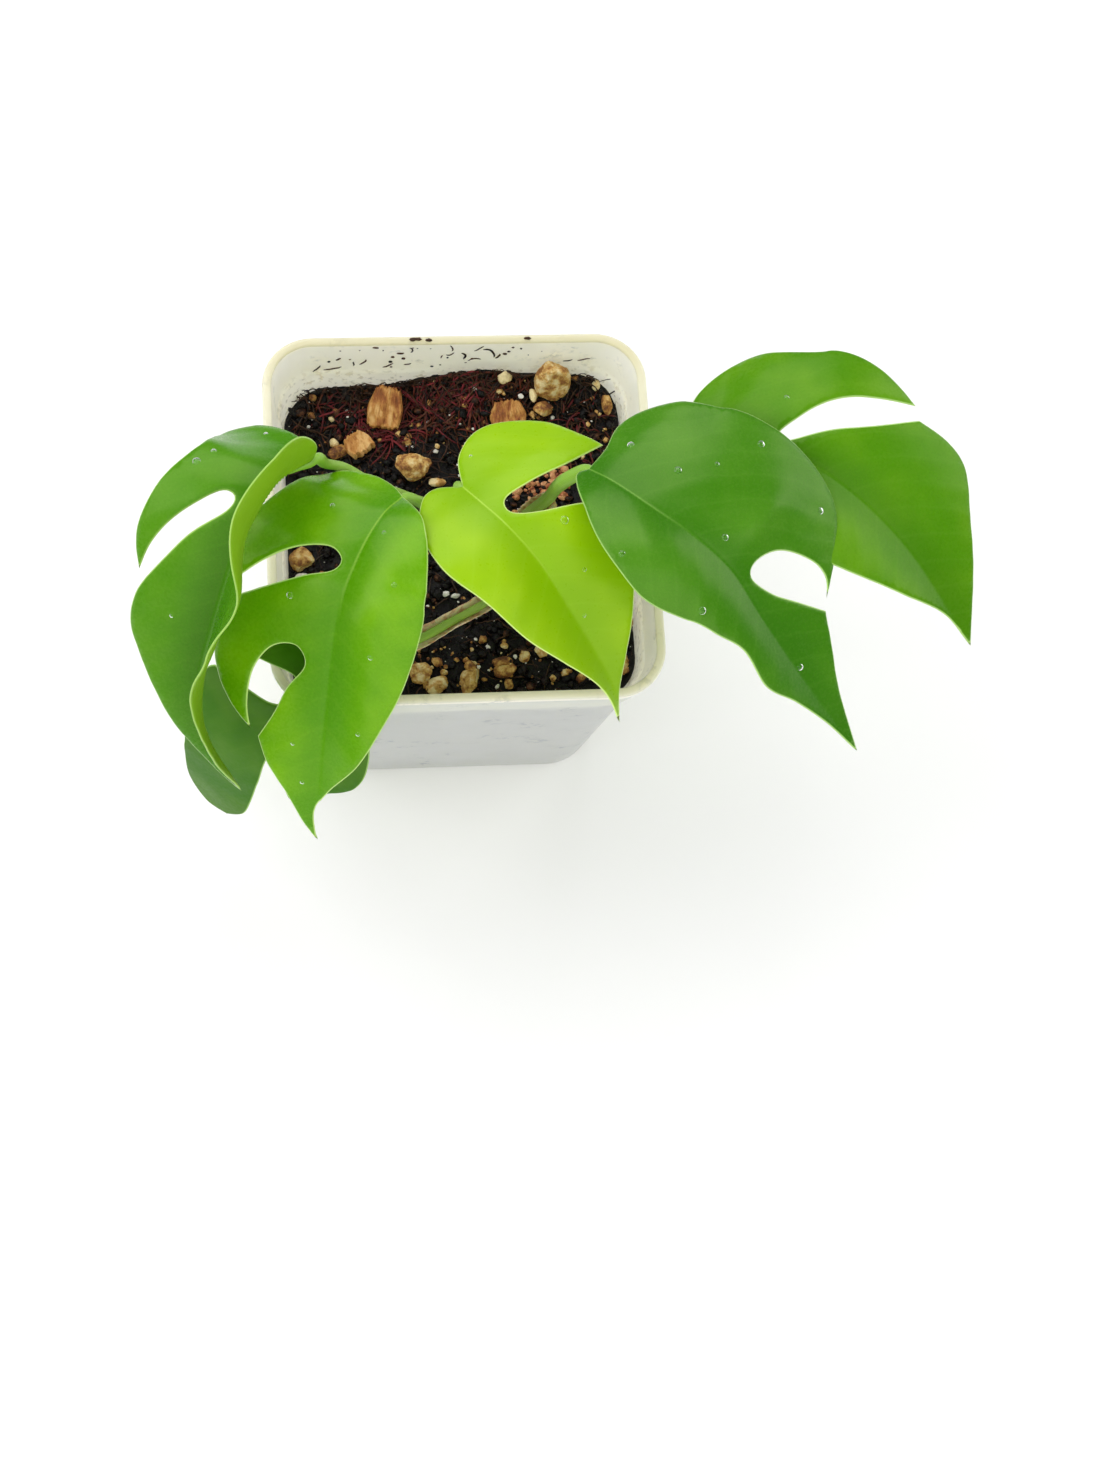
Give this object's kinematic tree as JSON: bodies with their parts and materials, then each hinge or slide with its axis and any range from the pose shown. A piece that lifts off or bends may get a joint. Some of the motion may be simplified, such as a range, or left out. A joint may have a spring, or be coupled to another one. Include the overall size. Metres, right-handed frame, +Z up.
{
  "type": "potted rhaphidophora tetrasperma",
  "caption": "Young climbing aroid with deeply split glossy leaves on slender stalks, growing in a square tapered nursery pot of soil, stones and bark.",
  "frame": {"origin": "middle of the pot's base, on its underside", "axes": "+Z up, the pot's walls along X and Y, -Y the front wall, +X towards the farthest leaf tip"},
  "size_m": [0.1886, 0.1193, 0.1435],
  "materials": {
    "pot_plastic": "thin moulded polypropylene, off-white, satin, slightly translucent",
    "leaf_blade": "living leaf, mid green, semi-glossy, with sunken side veins",
    "young_blade": "newly opened leaf, lime green, semi-glossy",
    "leaf_stalk": "living stalk, pale green, satin",
    "stem": "living stem, olive green with brown node rings",
    "sheath": "dry papery sheath, beige, thin",
    "stone": "small rough pebbles, tan to cream",
    "bark": "raw bark chips, orange-brown, fibrous",
    "water_drop": "clear water drops on the leaves",
    "soil": "moist peat and coir, near black-brown, crumbly"
  },
  "bodies": {
    "root": {"pot": "pot_plastic", "stem": "stem", "leaf_far_left": "leaf_blade", "leaf_front_left": "leaf_blade", "leaf_low": "leaf_blade", "leaf_young": "young_blade", "leaf_right": "leaf_blade", "leaf_far_right": "leaf_blade", "petiole_far_left": "leaf_stalk", "petiole_front_left": "leaf_stalk", "petiole_low": "leaf_stalk", "petiole_young": "leaf_stalk", "petiole_right": "leaf_stalk", "petiole_far_right": "leaf_stalk", "sheath_low": "sheath", "sheath_right": "sheath", "stone_back": "stone", "stone_left_middle": "stone", "stone_left_edge": "stone", "stone_right_edge": "stone", "stone_right_front": "stone", "stone_front_left": "stone", "stone_front_middle": "stone", "stone_front_right": "stone", "bark_large": "bark", "bark_left": "bark", "bark_middle": "bark", "soil": "soil"}
  },
  "joints": []
}
